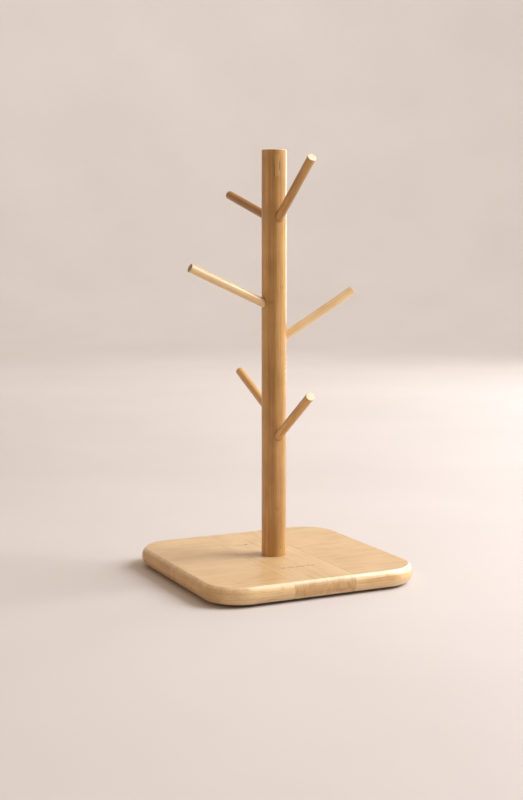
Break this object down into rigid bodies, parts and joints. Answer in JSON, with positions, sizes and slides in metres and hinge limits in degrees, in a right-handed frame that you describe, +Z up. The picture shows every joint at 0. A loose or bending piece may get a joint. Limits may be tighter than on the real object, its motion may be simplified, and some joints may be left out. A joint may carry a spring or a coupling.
{
  "type": "mug tree",
  "caption": "Free-standing bamboo mug tree: a round post on a rounded square base, with tilted pegs that hold mugs by their handles.",
  "frame": {"origin": "centre of the base, on the surface that the feet rest on", "axes": "+Z up along the post, -Y towards the front edge of the base, +X to the right"},
  "size_m": [0.18, 0.18, 0.3405],
  "materials": {
    "base_outer_board": "satin",
    "base_centre_board": "satin",
    "post": "satin",
    "peg": "satin",
    "screw": "zinc plated",
    "foot": "matte"
  },
  "bodies": {
    "root": {"base_left_board": "base_outer_board", "base_centre_board": "base_centre_board", "base_right_board": "base_outer_board", "post": "post", "post_screw": "screw", "peg_top_front": "peg", "peg_top_back": "peg", "peg_middle_left": "peg", "peg_middle_right": "peg", "peg_bottom_back": "peg", "peg_bottom_front": "peg", "foot_front_left": "foot", "foot_front_right": "foot", "foot_back_left": "foot", "foot_back_right": "foot"}
  },
  "joints": []
}
